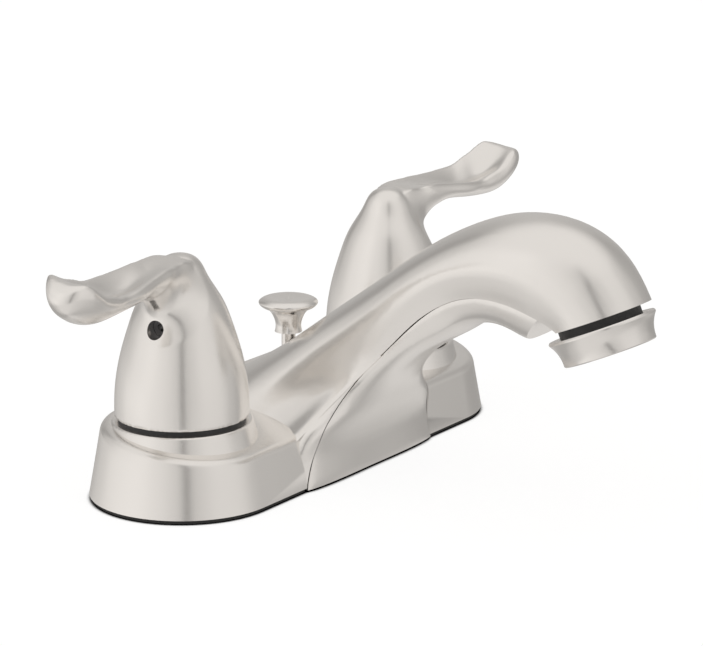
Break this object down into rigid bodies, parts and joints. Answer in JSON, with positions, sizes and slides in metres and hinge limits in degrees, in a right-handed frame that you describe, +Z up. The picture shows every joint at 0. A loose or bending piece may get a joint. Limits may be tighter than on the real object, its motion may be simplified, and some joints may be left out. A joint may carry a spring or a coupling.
{
  "type": "basin faucet",
  "caption": "Two-handle centerset basin faucet with a low arched spout, wing levers on bell hubs, a lift rod for the waste and an aerator.",
  "frame": {"origin": "on the deck, midway between the two inlet sockets", "axes": "+X towards the cold side, -Y along the spout to the user, +Z up"},
  "size_m": [0.2214, 0.1419, 0.0797],
  "materials": {
    "shell_nickel": "satin nickel plating, fine grain",
    "cover_nickel": "satin nickel plating, fine grain",
    "collar_nickel": "satin nickel plating, turned",
    "rod_nickel": "satin nickel plating",
    "knob_nickel": "satin nickel plating, turned",
    "handle_nickel": "satin nickel plating, fine grain",
    "gasket_rubber": "matt black",
    "washer_rubber": "matt black",
    "seal_rubber": "matt black",
    "waterway_brass": "as cast and machined",
    "nipple_plastic": "moulded, dark",
    "cartridge_brass": "turned",
    "stem_brass": "turned",
    "nut_brass": "machined",
    "tube_copper": "drawn copper tube",
    "disc_ceramic": "ground white",
    "insert_plastic": "moulded",
    "guide_plastic": "moulded",
    "glide_plastic": "moulded",
    "screw_steel": "dark steel"
  },
  "bodies": {
    "faucet": {"body_shell": "shell_nickel", "spout_cover": "cover_nickel", "base_gasket": "gasket_rubber", "waterway_body": "waterway_brass", "spout_tube": "tube_copper", "outlet_nipple": "nipple_plastic", "aerator_washer": "washer_rubber", "aerator_collar": "collar_nickel", "aerator_insert": "insert_plastic", "lift_rod_guide": "guide_plastic", "hot_seat_seal": "seal_rubber", "hot_fixed_disc": "disc_ceramic", "hot_cartridge": "cartridge_brass", "hot_bonnet_nut": "nut_brass", "hot_glide_ring": "glide_plastic", "cold_seat_seal": "seal_rubber", "cold_fixed_disc": "disc_ceramic", "cold_cartridge": "cartridge_brass", "cold_bonnet_nut": "nut_brass", "cold_glide_ring": "glide_plastic"},
    "hot_handle": {"hot_handle": "handle_nickel", "hot_set_screw": "screw_steel", "hot_stem": "stem_brass", "hot_moving_disc": "disc_ceramic", "hot_stem_seal": "seal_rubber"},
    "cold_handle": {"cold_handle": "handle_nickel", "cold_set_screw": "screw_steel", "cold_stem": "stem_brass", "cold_moving_disc": "disc_ceramic", "cold_stem_seal": "seal_rubber"},
    "lift_rod": {"lift_rod": "rod_nickel", "lift_knob": "knob_nickel"}
  },
  "joints": [
    {"name": "hot_handle_turn", "type": "hinge", "parent": "faucet", "child": "hot_handle", "pos_m": [-0.0508, 0, 0.03], "axis": [0, 0, 1], "range_deg": [0, 90]},
    {"name": "cold_handle_turn", "type": "hinge", "parent": "faucet", "child": "cold_handle", "pos_m": [0.0508, 0, 0.03], "axis": [0, 0, 1], "range_deg": [-90, 0]},
    {"name": "lift_rod_slide", "type": "slide", "parent": "faucet", "child": "lift_rod", "axis": [0, 0, 1], "range_m": [0, 0.02]}
  ]
}
